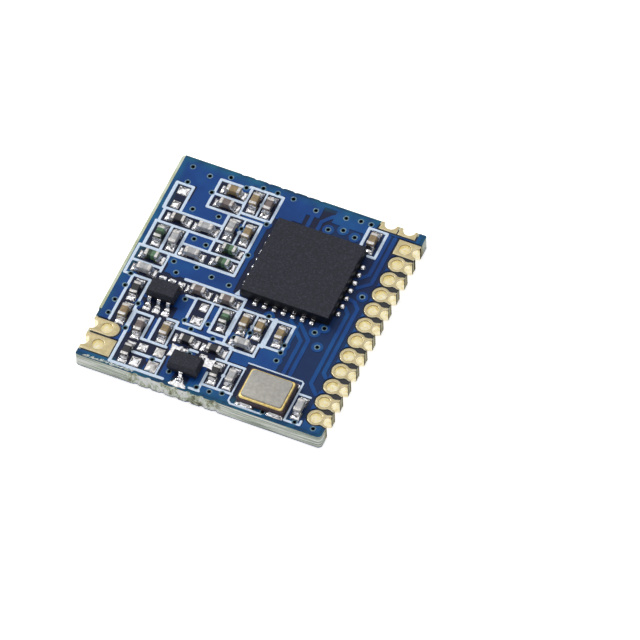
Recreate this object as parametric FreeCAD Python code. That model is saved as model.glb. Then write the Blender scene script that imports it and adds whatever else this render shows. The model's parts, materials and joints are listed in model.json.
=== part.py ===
import FreeCAD, Part
import math
import os

os.makedirs("parts", exist_ok=True)
V = FreeCAD.Vector

# A small radio module: a circuit board with a row of edge pads and the parts soldered to its top.
# X runs from the two radio pads to the pin row, Y runs to the back edge, Z is up.
# The origin is the middle of the board's underside. All sizes are millimetres.

# Board outline
pin_count = 12
pin_pitch = 1.27
first_pin_from_back = 1.5
last_pin_from_front = 1.33
board_width = 16.9
board_depth = first_pin_from_back + (pin_count - 1) * pin_pitch + last_pin_from_front
board_thickness = 1.2
corner_radius = 0.3
sharp_corner_radius = 0.1
left_edge_step = 0.1
left_step_from_front = 3.8

# Half-round nicks where the board was snapped out of its panel
nick_count = 7
nick_pitch = 0.9
nick_radius = 0.25
nick_depth = 0.08
nick_middle_x = -1.5

# Layers
copper_thickness = 0.035
mask_cover = 0.025
ink_thickness = 0.02
mask_inset = 0.04
mask_inset_left = 0.2
mask_step = 0.03
pad_relief = 0.09
land_relief = 0.05
pour_inset = 0.25
pour_relief = 0.15
land_clearance = 0.36
plating = 0.03

# Plated pads of the pin row
pin_hole_radius = 0.39
pin_hole_from_edge = 0.86
pin_oval_radius = 0.57
pin_waist = 0.84
pin_lobe_radius = 0.5
edge_hole_radius = 0.36
square_pad_length = 1.48
square_pad_width = 1.18

# Two radio pads on the left edge, one round-ended and one square
radio_hole_radius = 0.39
radio_edge_hole_radius = 0.38
radio_hole_from_edge = 1.04
round_radio_pad = {"y": -5.86, "length": 1.88, "width": 1.09}
square_radio_pad = {"y": -7.2, "length": 2.05, "width": 1.31}

# Two rear pads near the right end of the back edge
rear_hole_radius = 0.42
rear_pad_width = 1.2
rear_pad_depth = 0.62
rear_pitch = 1.27
first_rear_from_right = 1.18

# Vias: small plated holes
via_hole_radius = 0.125
via_ring_radius = 0.2
vias = [
    (-7.46, 7.68), (-6.16, 7.42), (-4.87, 7.83), (-3.64, 7.47), (-2.62, 7.84), (-1.62, 7.84),
    (-0.51, 7.8), (1.17, 7.52), (3.19, 7.7), (4.15, 7.83), (4.85, 7.85), (-7.28, 6.45),
    (-5.53, 6.29), (2.48, 6.45), (3.39, 6.76), (4.28, 6.52), (-1.3, 5.33), (-6.12, 4.63),
    (-4.34, 4.71), (-2.62, 4.39), (-5.07, 2.53), (-4.18, 2.37), (-1.39, 2.67), (6.57, 2.47),
    (-5.53, 0.44), (-4.02, 0.56), (-2.83, 0.23), (-1.56, 0.07), (-5.05, -0.29), (-7.67, -1.45),
    (-3.67, -1.96), (1.74, -1.15), (4.9, -1.18), (5.5, -2.16), (-7.63, -2.41), (1.16, -2.78),
    (3.54, -2.83), (-1.55, -3.18), (-7.76, -3.66), (-6.27, -3.41), (-3.03, -3.45), (0.39, -3.46),
    (3.55, -3.42), (-2.38, -3.93), (-0.8, -4.09), (3.54, -4.08), (-7.72, -4.74), (-6.25, -5.42),
    (-2.68, -5.71), (-1.7, -5.7), (-3.67, -7.0), (-2.32, -7.42), (-0.25, -7.85), (0.63, -7.85),
    (1.42, -7.67), (4.34, -7.98), (6.49, -7.91), (7.75, -7.93), (-3.6, -7.72), (5.34, -0.66),
]

# Chip parts, all one case size. A place is (x, y, turn), and turn 90 runs the chip front to back.
chip_length = 1.0
chip_width = 0.5
capacitor_height = 0.5
inductor_height = 0.5
resistor_height = 0.35
terminal_length = 0.25
terminal_skin = 0.015
land_overhang = 0.37
land_width = 0.58
joint_lip = 0.03
joint_climb = 0.7
joint_sag = 0.38
joint_trim = 0.03
capacitors = [
    (-4.2, 6.8, 0), (-4.2, 5.68, 0), (-2.65, 6.6, 90), (-1.68, 6.58, 90), (-4.68, 3.48, 0),
    (-3.18, 4.1, 90), (-2.05, 4.07, 90), (-6.17, 1.95, 90), (-4.68, 1.36, 0), (-6.97, -0.9, 0),
    (-6.77, -4.42, 90), (-5.4, -5.1, 90), (-3.78, -4.77, 90), (-3.1, -1.15, 0), (-1.12, -1.15, 0),
    (0.6, -2.3, 90), (1.64, -2.3, 90), (3.05, -2.32, 90), (1.07, -3.82, 0), (1.52, -6.45, 90),
    (6.38, -6.87, 90), (5.5, 6.57, 90),
]
inductors = [(-7.2, 1.95, 90), (-2.58, 2.48, 0), (-2.58, 1.38, 0), (-6.95, 0.21, 0), (-0.68, -2.55, 90)]
resistors = [
    (-6.6, 3.52, 0), (-6.85, -2.5, 90), (-2.26, -4.87, 0), (-0.38, -4.87, 0), (-5.4, -7.05, 90),
    (0.42, -6.45, 90),
]

# Tinned lands with nothing fitted: x, y, size in x, size in y
spare_lands = [
    (-7.23, 5.7, 0.7, 0.6), (-7.25, 4.55, 0.5, 0.55), (-4.6, -6.37, 0.6, 0.55),
    (-3.48, -6.35, 0.62, 0.65), (-4.6, -7.55, 0.62, 0.7), (-3.48, -7.5, 0.7, 0.8),
    (-2.3, -2.1, 0.5, 0.6), (-2.33, -3.2, 0.72, 0.6),
]
spare_tin = 0.04

# Transceiver: a flat square package with contacts under its edges
transceiver = {"x": 2.5, "y": 2.59}
transceiver_size = 6.0
transceiver_height = 0.85
contact_count = 7
contact_pitch = 0.65
contact_width = 0.3
contact_length = 0.5
contact_thickness = 0.2
contact_overhang = 0.3
heat_pad_size = 4.0

# Crystal: a ceramic base, a metal rim and a lid
crystal = {"x": 4.07, "y": -6.65}
crystal_length = 3.2
crystal_depth = 2.5
crystal_base_height = 0.45
rim_inset = 0.08
rim_height = 0.1
lid_inset = 0.13
lid_height = 0.12
lid_corner = 0.18
crystal_land_length = 1.2
crystal_land_depth = 1.0
crystal_overhang = 0.16
crystal_joint_climb = 0.1125
crystal_base_corner = 0.09

# Moulded packages with bent leads. Leads are (offset along the body, side), side 1 is the back.
switch = {"x": -5.0, "y": -2.25}
switch_length = 2.0
switch_leads = [(-0.65, -1), (0.0, -1), (0.65, -1), (-0.65, 1), (0.0, 1), (0.65, 1)]
transistor = {"x": -1.45, "y": -6.8}
transistor_length = 2.1
transistor_leads = [(0.0, -1), (-0.65, 1), (0.65, 1)]
moulded_depth = 1.25
moulded_height = 0.9
moulded_standoff = 0.05
moulded_chamfer = 0.055
lead_width = 0.25
lead_thickness = 0.11
lead_exit_height = 0.5
lead_shoulder = 0.12
lead_slope = 0.1
lead_reach = 0.43
lead_land_overhang = 0.36
lead_land_width = 0.42

# Printed lines: x0, y0, x1, y1, width
ink_lines = [
    (-7.88, 6.2, -7.88, 4.1, 0.22), (-7.88, 6.2, -6.75, 6.2, 0.18), (-6.75, 6.2, -6.75, 4.1, 0.18),
    (-7.9, 4.08, -3.85, 4.08, 0.18), (-7.75, 4.05, -7.75, 2.95, 0.18),
    (-5.37, 7.45, -3.6, 7.45, 0.18), (-3.6, 7.45, -3.35, 7.62, 0.18), (-3.35, 7.62, -1.12, 7.62, 0.18),
    (-5.37, 7.45, -5.37, 5.17, 0.18), (-5.37, 6.28, -3.24, 6.28, 0.18), (-5.35, 5.17, -1.55, 5.17, 0.18),
    (-3.24, 7.6, -3.24, 5.2, 0.18), (-2.17, 7.6, -2.17, 5.53, 0.12), (-1.12, 7.62, -1.12, 5.53, 0.18),
    (-3.24, 5.53, -1.12, 5.53, 0.18), (-3.76, 5.17, -3.76, 2.95, 0.18), (-2.62, 5.15, -2.62, 3.0, 0.12),
    (-1.56, 5.15, -1.56, 0.85, 0.18), (-7.9, 2.95, -1.6, 2.95, 0.18), (-7.87, 2.95, -7.87, 0.85, 0.2),
    (-6.72, 2.95, -6.72, 0.85, 0.18), (-5.65, 2.95, -5.65, 0.85, 0.18), (-5.65, 1.93, -1.6, 1.93, 0.17),
    (-3.8, 2.95, -3.8, 2.02, 0.17), (-8.1, 0.85, -1.6, 0.85, 0.2), (-8.1, 0.85, -8.1, -1.48, 0.18),
    (-6.0, 0.85, -6.0, -0.6, 0.18), (-8.1, -0.36, -6.0, -0.36, 0.18), (-8.1, -1.48, -6.33, -1.48, 0.18),
    (-7.47, -1.5, -7.47, -5.13, 0.18), (-6.3, -1.48, -6.3, -3.95, 0.18), (-6.2, -3.95, -6.2, -5.4, 0.28),
    (-6.13, -5.4, -6.13, -8.08, 0.21), (-6.13, -8.08, -2.47, -8.08, 0.2), (-6.3, -4.0, -5.0, -4.0, 0.18),
    (-4.98, -4.0, -4.98, -5.8, 0.18), (-4.51, -3.95, -4.51, -5.8, 0.18), (-4.98, -5.8, -3.25, -5.8, 0.18),
    (-4.05, -3.77, -3.34, -3.77, 0.18), (-3.34, -3.77, -3.34, -4.2, 0.18), (-3.35, -4.2, 0.6, -4.2, 0.2),
    (-3.35, -4.3, -3.35, -5.8, 0.12), (-3.03, -6.5, -3.03, -8.08, 0.12), (-5.05, -6.9, -3.05, -6.9, 0.2),
    (-4.25, -0.56, -0.15, -0.56, 0.2), (-0.1, -0.56, -0.1, -1.3, 0.18), (-0.1, -1.3, -0.1, -3.4, 0.3),
    (-0.08, -3.4, -0.08, -4.2, 0.18), (-3.7, -1.68, -3.0, -1.68, 0.17), (-3.0, -1.68, -3.0, -3.68, 0.17),
    (-3.0, -3.68, -1.86, -3.68, 0.17), (-1.86, -1.7, -1.86, -3.68, 0.18), (-2.95, -1.6, -0.3, -1.6, 0.12),
    (-1.3, -1.65, -1.3, -3.7, 0.18), (-1.3, -3.7, -0.1, -3.7, 0.18), (0.0, -1.3, 3.6, -1.3, 0.17),
    (1.12, -1.3, 1.12, -3.25, 0.12), (2.28, -1.3, 2.28, -3.4, 0.34), (3.57, -1.3, 3.57, -3.4, 0.18),
    (2.28, -3.4, 3.57, -3.4, 0.17), (2.07, -3.4, 2.07, -4.36, 0.18), (0.5, -4.36, 2.1, -4.36, 0.18),
    (0.63, -4.36, 0.63, -5.42, 0.17), (0.05, -5.42, 2.0, -5.42, 0.17), (-1.78, -5.4, -1.27, -5.4, 0.17),
    (2.0, -5.42, 2.0, -8.0, 0.1), (0.96, -5.5, 0.96, -7.5, 0.1), (0.0, -7.5, 2.0, -7.5, 0.17),
    (-0.08, -6.6, -0.08, -8.08, 0.18), (-0.65, -8.08, 0.0, -8.08, 0.17),
    (2.05, -4.92, 5.72, -4.92, 0.09), (5.72, -4.92, 5.82, -5.02, 0.09), (5.82, -5.02, 5.82, -7.95, 0.12),
    (2.0, -8.0, 2.2, -8.18, 0.12), (2.2, -8.18, 4.3, -8.18, 0.12), (5.82, -5.86, 6.68, -5.86, 0.15),
    (5.82, -8.02, 6.85, -8.02, 0.15), (6.85, -8.02, 6.85, -7.72, 0.15),
    (4.88, 7.55, 4.88, 6.15, 0.2), (4.88, 7.55, 6.1, 7.55, 0.18), (6.1, 7.55, 6.1, 5.5, 0.18),
    (5.62, 5.5, 6.1, 5.5, 0.18),
]
pin_mark = [(-0.95, -0.42), (-0.6, -0.42), (-0.78, 0.02)]

# Copper tracks under the mask, all one width: the points of each
track_width = 0.2
tracks = [
    [(6.3, 7.4), (6.3, 4.2), (5.85, 3.75)],
    [(6.7, 7.4), (6.7, 3.6), (6.0, 3.0)],
    [(5.9, 1.3), (6.25, 0.9), (6.25, -4.85), (6.85, -5.5)],
    [(5.9, 2.0), (6.3, 1.9), (6.67, 1.5), (6.67, -3.8), (6.92, -4.1)],
    [(3.15, -0.9), (4.35, -2.1), (4.35, -4.75)],
    [(3.8, -0.9), (4.78, -1.9), (4.78, -4.75)],
    [(1.15, 7.4), (1.15, 5.9)],
    [(1.85, 5.9), (1.85, 6.85), (2.35, 7.45), (2.9, 7.8)],
]

# Parts of the top with no copper pour: x0, y0, x1, y1
bare_zones = [
    (4.9, -5.2, 7.1, 5.9),
    (-1.15, -0.35, 5.9, 6.0),
    (-0.05, -1.1, 5.2, -0.1),
    (3.8, -5.2, 5.2, -0.8),
    (6.1, 5.6, 7.1, 7.6),
    (0.7, 5.6, 4.75, 7.05),
    (1.57, 6.9, 2.5, 8.02),
    (2.0, -8.3, 6.3, -5.0),
    (6.0, -8.1, 7.0, -4.9),
]

# Levels and edges that follow from the sizes above
core_bottom = mask_cover + copper_thickness
core_top = board_thickness - core_bottom
copper_top = core_top + copper_thickness
ink_top = board_thickness + ink_thickness
seat = board_thickness
right_edge = board_width / 2
left_edge = -board_width / 2
radio_edge = left_edge + left_edge_step
back_edge = board_depth / 2
front_edge = -board_depth / 2
first_pin_y = back_edge - first_pin_from_back
pin_x = right_edge - pin_hole_from_edge
radio_x = radio_edge + radio_hole_from_edge
pin_ys = [first_pin_y - i * pin_pitch for i in range(pin_count)]
rear_xs = [right_edge - first_rear_from_right - i * rear_pitch for i in range(2)]
sunk = 0.5
beyond = 1.0
hair = 0.01


def block(x0, y0, x1, y1, z0, z1):
    return Part.makeBox(x1 - x0, y1 - y0, z1 - z0, V(x0, y0, z0))


def rod(x, y, radius, z0, z1):
    return Part.makeCylinder(radius, z1 - z0, V(x, y, z0))


def rounded(length, depth, radius, z0, z1):
    """A flat block about the origin with four round corners."""
    slab = block(-length / 2, -depth / 2, length / 2, depth / 2, z0, z1)
    uprights = [e for e in slab.Edges if abs(e.tangentAt(e.FirstParameter).z) > 0.9]
    return slab.makeFillet(radius, uprights)


def placed(shape, x, y, turn=0):
    moved = shape.copy()
    moved.rotate(V(0, 0, 0), V(0, 0, 1), turn)
    moved.translate(V(x, y, 0))
    return moved


def fused(shapes):
    if len(shapes) == 1:
        return shapes[0]
    return shapes[0].fuse(shapes[1:]).removeSplitter()


def near(shape, others):
    """Those of the others whose boxes meet the shape's box."""
    return [o for o in others if shape.BoundBox.intersect(o.BoundBox)]


def without(shape, others):
    cutters = near(shape, others)
    return shape.cut(cutters) if cutters else shape


def write(name, shapes):
    solids = [s for shape in shapes for s in shape.Solids]
    whole = solids[0] if len(solids) == 1 else Part.makeCompound(solids)
    whole.exportStep("parts/" + name + ".step")
    print(name, len(solids), "solids", round(whole.Volume, 4), "mm3", whole.isValid())


def path_bars(points, width, z0, z1):
    """Straight bars with round ends along a path, as separate pieces that overlap."""
    pieces = []
    for (x0, y0), (x1, y1) in zip(points, points[1:]):
        bar = block(0, -width / 2, math.hypot(x1 - x0, y1 - y0), width / 2, z0, z1)
        pieces.append(placed(bar, x0, y0, math.degrees(math.atan2(y1 - y0, x1 - x0))))
    pieces += [rod(x, y, width / 2, z0, z1) for x, y in points]
    return pieces


def nicks(z0, z1):
    """Round cutters set outside the front and back edges."""
    xs = [nick_middle_x + (i - (nick_count - 1) / 2) * nick_pitch for i in range(nick_count)]
    out = nick_radius - nick_depth
    back = [rod(x, back_edge + out, nick_radius, z0, z1) for x in xs]
    front = [rod(x, front_edge - out, nick_radius, z0, z1) for x in xs]
    return back + front


def corner_cutter(side, end, z0, z1):
    """What a round corner takes away: its square less the quarter disc."""
    u = side * (board_width / 2 - corner_radius)
    v = end * (board_depth / 2 - corner_radius)
    x, y = u + side * 2 * corner_radius, v + end * 2 * corner_radius
    square = block(min(u, x), min(v, y), max(u, x), max(v, y), z0, z1)
    return [square.cut(rod(u, v, corner_radius, z0, z1))]


def board_slab(z0, z1):
    """The board's outline between two levels, with its nicks and its stepped left edge."""
    slab = rounded(board_width, board_depth, sharp_corner_radius, z0, z1)
    cleared = corner_cutter(-1, -1, z0, z1) + corner_cutter(1, -1, z0, z1) + corner_cutter(-1, 1, z0, z1)
    step_top = front_edge + left_step_from_front
    step = block(left_edge - beyond, front_edge - beyond, radio_edge, step_top, z0, z1)
    return slab.cut(nicks(z0, z1) + cleared + [step])


def on_board(shape, z0, z1):
    """The part of a pad or hole wall that lies within the board's straight edges."""
    return shape.common(block(radio_edge, front_edge, right_edge, back_edge, z0, z1))


def pin_pad_area(index, grow, z0, z1):
    """One pad of the pin row: square at the first pin, else an oval with a lobe at the edge."""
    y = pin_ys[index]
    if index == 0:
        half = square_pad_width / 2 + grow
        return block(right_edge - square_pad_length - grow, y - half, right_edge, y + half, z0, z1)
    oval = rod(pin_x, y, pin_oval_radius + grow, z0, z1)
    half = pin_waist / 2 + grow
    neck = block(pin_x, y - half, right_edge, y + half, z0, z1)
    lobe = rod(right_edge, y, pin_lobe_radius + grow, z0, z1)
    return on_board(fused([oval, neck, lobe]), z0, z1)


def radio_pad_area(pad, grow, z0, z1):
    half = pad["width"] / 2 + grow
    end = radio_edge + pad["length"] + grow
    if pad is square_radio_pad:
        return block(radio_edge, pad["y"] - half, end, pad["y"] + half, z0, z1)
    neck = block(radio_edge, pad["y"] - half, end - half, pad["y"] + half, z0, z1)
    return fused([neck, rod(end - half, pad["y"], half, z0, z1)])


def rear_pad_area(x, grow, z0, z1):
    half = rear_pad_width / 2 + grow
    return block(x - half, back_edge - rear_pad_depth - grow, x + half, back_edge, z0, z1)


def plated(area, holes):
    """A pad on both faces of the board, joined by the plating in its holes."""
    top = area(0, core_top, board_thickness)
    bottom = area(0, 0, core_bottom)
    wall = [rod(x, y, r + plating, core_bottom, core_top) for x, y, r in holes]
    wall = [on_board(w, core_bottom, core_top) for w in wall]
    bores = [rod(x, y, r, -sunk, board_thickness + sunk) for x, y, r in holes]
    return fused([top, bottom] + wall).cut(bores)


def via(x, y):
    ring_top = rod(x, y, via_ring_radius, core_top, board_thickness)
    ring_bottom = rod(x, y, via_ring_radius, 0, core_bottom)
    barrel = rod(x, y, via_hole_radius + plating, core_bottom, core_top)
    bore = rod(x, y, via_hole_radius, -sunk, board_thickness + sunk)
    return fused([ring_top, barrel, ring_bottom]).cut(bore)


def joint(inner, edge, outer, climb, width):
    """Solder on a land: a thin bed under the contact and a hollow fillet up its end, along +X."""
    rise = seat + climb
    foot = copper_top + joint_lip
    sag = V(edge + joint_sag * (outer - edge), 0, foot + joint_sag * (rise - foot))
    corners = [V(outer, 0, foot), V(outer, 0, copper_top), V(inner, 0, copper_top), V(inner, 0, seat)]
    corners += [V(edge, 0, seat), V(edge, 0, rise)]
    curve = Part.Arc(V(edge, 0, rise), sag, V(outer, 0, foot)).toShape()
    face = Part.Face(Part.Wire(Part.makePolygon(corners).Edges + [curve]))
    face.translate(V(0, -width / 2, 0))
    return face.extrude(V(0, width, 0))


def land(inner, outer, width):
    return block(inner, -width / 2, outer, width / 2, core_top, copper_top)


def chip(place, height):
    """One chip part: its ceramic body, its two metal ends, and their lands and solder."""
    half, skin = chip_length / 2, terminal_skin
    wide = chip_width / 2
    body = block(skin - half, skin - wide, half - skin, wide - skin, seat + skin, seat + height - skin)
    end = block(half - terminal_length, -wide, half, wide, seat, seat + height).cut(body)
    inner, outer = half - terminal_length, half + land_overhang
    solder = joint(inner, half, outer, joint_climb * height, chip_width - joint_trim)
    ends = [placed(end, *place), placed(end, place[0], place[1], place[2] + 180)]
    places = [place, (place[0], place[1], place[2] + 180)]
    return {
        "body": placed(body, *place),
        "ends": ends,
        "lands": [placed(land(inner, outer, land_width), *p) for p in places],
        "joints": [placed(solder, *p) for p in places],
    }


def transceiver_pieces():
    half = transceiver_size / 2
    x, y = transceiver["x"], transceiver["y"]
    wide = contact_width / 2
    contact = block(half - contact_length, -wide, half, wide, seat, seat + contact_thickness)
    inner, outer = half - contact_length, half + contact_overhang
    solder = joint(inner, half, outer, contact_thickness, contact_width)
    offsets = [(i - (contact_count - 1) / 2) * contact_pitch for i in range(contact_count)]
    contacts, lands, joints = [], [], []
    for turn in (0, 90, 180, 270):
        for offset in offsets:
            side = [placed(s, 0, offset) for s in (contact, land(inner, outer, contact_width), solder)]
            side = [placed(s, x, y, turn) for s in side]
            contacts.append(side[0])
            lands.append(side[1])
            joints.append(side[2])
    pad = heat_pad_size / 2
    heat = block(x - pad, y - pad, x + pad, y + pad, seat, seat + contact_thickness)
    lands.append(block(x - pad, y - pad, x + pad, y + pad, core_top, copper_top))
    joints.append(block(x - pad, y - pad, x + pad, y + pad, copper_top, seat))
    body = block(x - half, y - half, x + half, y + half, seat, seat + transceiver_height)
    return body.cut(contacts + [heat]), contacts, heat, lands, joints


def crystal_pieces():
    x, y = crystal["x"], crystal["y"]
    base_top = seat + crystal_base_height
    rim_top = base_top + rim_height
    base = rounded(crystal_length, crystal_depth, crystal_base_corner, seat, base_top)
    rim_length, rim_depth = crystal_length - 2 * rim_inset, crystal_depth - 2 * rim_inset
    rim = rounded(rim_length, rim_depth, lid_corner, base_top, rim_top)
    lid_length, lid_depth = rim_length - 2 * lid_inset, rim_depth - 2 * lid_inset
    lid = rounded(lid_length, lid_depth, lid_corner, rim_top, rim_top + lid_height)
    half = crystal_depth / 2
    inner, outer = half + crystal_overhang - crystal_land_depth, half + crystal_overhang
    solder = joint(inner, half, outer, crystal_joint_climb, crystal_land_length - joint_trim)
    pad = land(inner, outer, crystal_land_length)
    across = crystal_length / 2 - crystal_land_length / 2
    lands, joints = [], []
    for turn in (90, 270):
        for offset in (-across, across):
            lands.append(placed(pad, 0, 0, turn))
            joints.append(placed(solder, 0, 0, turn))
            lands[-1].translate(V(x + offset, y, 0))
            joints[-1].translate(V(x + offset, y, 0))
    return placed(base, x, y), placed(rim, x, y), placed(lid, x, y), lands, joints


def moulded_pieces(centre, length, leads):
    """A small moulded package: body, bent leads, and the lands and solder under their feet."""
    half = moulded_depth / 2
    x, y = centre["x"], centre["y"]
    low = seat + moulded_standoff
    body = block(x - length / 2, y - half, x + length / 2, y + half, low, low + moulded_height)
    top_edges = [e for e in body.Edges if e.BoundBox.ZMin > low + moulded_height - hair]
    body = body.makeChamfer(moulded_chamfer, top_edges)
    exit_top, exit_low = seat + lead_exit_height, seat + lead_exit_height - lead_thickness
    knee = half + lead_shoulder
    heel = knee + lead_slope
    foot_top, toe = seat + lead_thickness, half + lead_reach
    outline = [(half, exit_top), (knee + lead_thickness / 2, exit_top), (heel + lead_thickness, foot_top)]
    outline += [(toe, foot_top), (toe, seat), (heel, seat)]
    outline += [(knee - lead_thickness / 2, exit_low), (half, exit_low), (half, exit_top)]
    side = Part.Face(Part.makePolygon([V(u, -lead_width / 2, w) for u, w in outline]))
    lead = side.extrude(V(0, lead_width, 0))
    outer = toe + lead_land_overhang
    solder = joint(heel, toe, outer, lead_thickness, lead_land_width - joint_trim)
    pad = land(heel, outer, lead_land_width)
    pieces, lands, joints = [], [], []
    for offset, way in leads:
        for shape, row in ((lead, pieces), (pad, lands), (solder, joints)):
            row.append(placed(shape, x + offset, y, 90 * way))
    return body, pieces, lands, joints


def track_shapes(grow, z0, z1):
    return [b for points in tracks for b in path_bars(points, track_width + 2 * grow, z0, z1)]


def pour(grow, z0, z1):
    """The top's copper sheet, rings and tracks, or their outline grown by the mask on their edges."""
    inset = pour_inset - grow
    sheet = block(left_edge + inset, front_edge + inset, right_edge - inset, back_edge - inset, z0, z1)
    cutters = [block(a + grow, b + grow, c - grow, d - grow, z0, z1) for a, b, c, d in bare_zones]
    cutters += all_lands(land_clearance - grow, z0, z1) + edge_pads(pour_relief - grow, z0, z1)
    rings = [rod(x, y, via_ring_radius + pour_relief + grow, z0, z1) for x, y in vias]
    return fused([sheet.cut(cutters)] + rings + track_shapes(grow, z0, z1))


# Parts and their solder
chips = {}
for number, place in enumerate(capacitors, 1):
    chips[f"capacitor_{number:02d}"] = chip(place, capacitor_height)
for number, place in enumerate(inductors, 1):
    chips[f"inductor_{number}"] = chip(place, inductor_height)
for number, place in enumerate(resistors, 1):
    chips[f"resistor_{number}"] = chip(place, resistor_height)
radio_body, radio_contacts, radio_heat, radio_lands, radio_joints = transceiver_pieces()
base, rim, lid, crystal_lands, crystal_joints = crystal_pieces()
switch_body, switch_pieces, switch_lands, switch_joints = moulded_pieces(switch, switch_length, switch_leads)
transistor_body, transistor_pieces, transistor_lands, transistor_joints = moulded_pieces(
    transistor, transistor_length, transistor_leads
)
lands = radio_lands + crystal_lands + switch_lands + transistor_lands
joints = radio_joints + crystal_joints + switch_joints + transistor_joints
ends = []
for piece in chips.values():
    lands += piece["lands"]
    joints += piece["joints"]
    ends += piece["ends"]
spares = [
    block(x - a / 2, y - b / 2, x + a / 2, y + b / 2, core_top, copper_top) for x, y, a, b in spare_lands
]
tinned = [
    block(x - a / 2, y - b / 2, x + a / 2, y + b / 2, copper_top, copper_top + spare_tin)
    for x, y, a, b in spare_lands
]

# Plated pads
pin_holes = [[(pin_x, y, pin_hole_radius), (right_edge, y, edge_hole_radius)] for y in pin_ys]
pin_pads = [
    plated(lambda grow, z0, z1, i=i: pin_pad_area(i, grow, z0, z1), pin_holes[i]) for i in range(pin_count)
]
radio_holes = [
    [(radio_x, pad["y"], radio_hole_radius), (radio_edge, pad["y"], radio_edge_hole_radius)]
    for pad in (round_radio_pad, square_radio_pad)
]
radio_pads = [
    plated(lambda grow, z0, z1, pad=pad: radio_pad_area(pad, grow, z0, z1), holes)
    for pad, holes in zip((round_radio_pad, square_radio_pad), radio_holes)
]
rear_holes = [[(x, back_edge, rear_hole_radius)] for x in rear_xs]
rear_pads = [
    plated(lambda grow, z0, z1, x=x: rear_pad_area(x, grow, z0, z1), holes)
    for x, holes in zip(rear_xs, rear_holes)
]
via_solids = [via(x, y) for x, y in vias]
pad_holes = [h for group in pin_holes + radio_holes + rear_holes for h in group]


def edge_pads(grow, z0, z1):
    """The areas of all plated pads, with the bare strip between the pads of the pin row."""
    areas = [pin_pad_area(i, grow, z0, z1) for i in range(pin_count)]
    areas.append(block(pin_x, pin_ys[-1], right_edge, pin_ys[0], z0, z1))
    areas += [radio_pad_area(pad, grow, z0, z1) for pad in (round_radio_pad, square_radio_pad)]
    return areas + [rear_pad_area(x, grow, z0, z1) for x in rear_xs]


def all_lands(grow, z0, z1):
    boxes = [s.BoundBox for s in lands + spares]
    return [block(b.XMin - grow, b.YMin - grow, b.XMax + grow, b.YMax + grow, z0, z1) for b in boxes]


def top_features(grow, z0, z1):
    return all_lands(grow, z0, z1) + edge_pads(grow, z0, z1)


# Laminate core, drilled for every plated hole
drills = [rod(x, y, r + plating, core_bottom, core_top) for x, y, r in pad_holes]
drills += [rod(x, y, via_hole_radius + plating, core_bottom, core_top) for x, y in vias]
substrate = board_slab(core_bottom, core_top).cut(drills)

# Top copper and the mask that follows it in two levels
via_rings = [rod(x, y, via_ring_radius, core_top - sunk, board_thickness + sunk) for x, y in vias]
copper = pour(0, core_top, copper_top)
copper = copper.cut(top_features(land_relief, core_top, copper_top) + via_rings)


def mask_area(z0, z1):
    """The board less a bare margin, wider along the left edge behind the radio pads."""
    left_start = front_edge + left_step_from_front
    back_end = right_edge - first_rear_from_right
    margins = [
        block(left_edge - beyond, left_start, left_edge + mask_inset_left, back_edge, z0, z1),
        block(left_edge - beyond, back_edge - mask_inset, back_end, back_edge + beyond, z0, z1),
    ]
    return board_slab(z0, z1).cut(margins)


openings = all_lands(land_relief, core_top, board_thickness)
openings += edge_pads(pad_relief, core_top, board_thickness) + via_rings
mask_low = mask_area(core_top, copper_top).cut(openings + [copper])
mask_high = pour(mask_step, copper_top, board_thickness)
mask_high = mask_high.common(mask_area(copper_top, board_thickness)).cut(openings)
mask_top = fused([mask_low, mask_high])

# Underside: one copper sheet under a flat mask
bottom_pads = edge_pads(pad_relief, 0, core_bottom)
bottom_rings = [rod(x, y, via_ring_radius, -sunk, core_bottom + sunk) for x, y in vias]
bottom_clear = edge_pads(pour_relief, mask_cover, core_bottom)
copper_bottom = block(
    left_edge + pour_inset, front_edge + pour_inset, right_edge - pour_inset, back_edge - pour_inset,
    mask_cover, core_bottom,
)
copper_bottom = copper_bottom.cut(bottom_clear + bottom_rings)
mask_bottom = board_slab(0, core_bottom).cut(bottom_pads + bottom_rings + [copper_bottom])

# Printed lines lie on both levels of the mask
lines = []
for x0, y0, x1, y1, width in ink_lines:
    lines += path_bars([(x0, y0), (x1, y1)], width, copper_top, ink_top)
mark = Part.Face(Part.makePolygon([V(x, y, copper_top) for x, y in pin_mark + pin_mark[:1]]))
lines.append(mark.extrude(V(0, 0, ink_top - copper_top)))
ink_blocks = all_lands(land_relief, copper_top, ink_top) + edge_pads(pad_relief, copper_top, ink_top)
ink_blocks += [rod(x, y, via_ring_radius, copper_top, ink_top) for x, y in vias]
ink = fused(lines).cut(ink_blocks).cut(mask_top)

# One file for each node
write("substrate", [substrate])
write("copper_top", [copper])
write("copper_bottom", [copper_bottom])
write("solder_mask_top", [mask_top])
write("solder_mask_bottom", [mask_bottom])
write("silkscreen_top", [ink])
write("pin_pads", pin_pads)
write("radio_pads", radio_pads)
write("rear_pads", rear_pads)
write("vias", via_solids)
write("component_lands", [without(s, via_rings) for s in lands])
write("spare_lands", [without(s, via_rings) for s in spares])
write("spare_land_tin", [without(s, via_rings) for s in tinned])
write("solder_joints", [without(s, via_rings) for s in joints])
write("chip_ends", ends)
write("transceiver_body", [radio_body])
write("transceiver_contacts", radio_contacts)
write("transceiver_heat_pad", [radio_heat])
write("crystal_base", [base])
write("crystal_rim", [rim])
write("crystal_lid", [lid])
write("switch_body", [switch_body])
write("switch_leads", switch_pieces)
write("transistor_body", [transistor_body])
write("transistor_leads", transistor_pieces)
for name, piece in chips.items():
    write(name, [piece["body"]])
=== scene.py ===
# %% [markdown]
# # Dressing a small radio module
#
# The construction is already made: every layer and every soldered part of this circuit board
# comes in as a fixed frame, at its real size. This lesson gives it its looks. Flat layers such
# as the blue solder mask keep their solids and get a painted material. Parts whose shape is
# rounder than a plain solid, such as solder, bent leads and chip ends, are modelled here and
# stand in the place of those solids.

# %% Load the frame
import json
import math
import random

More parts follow.
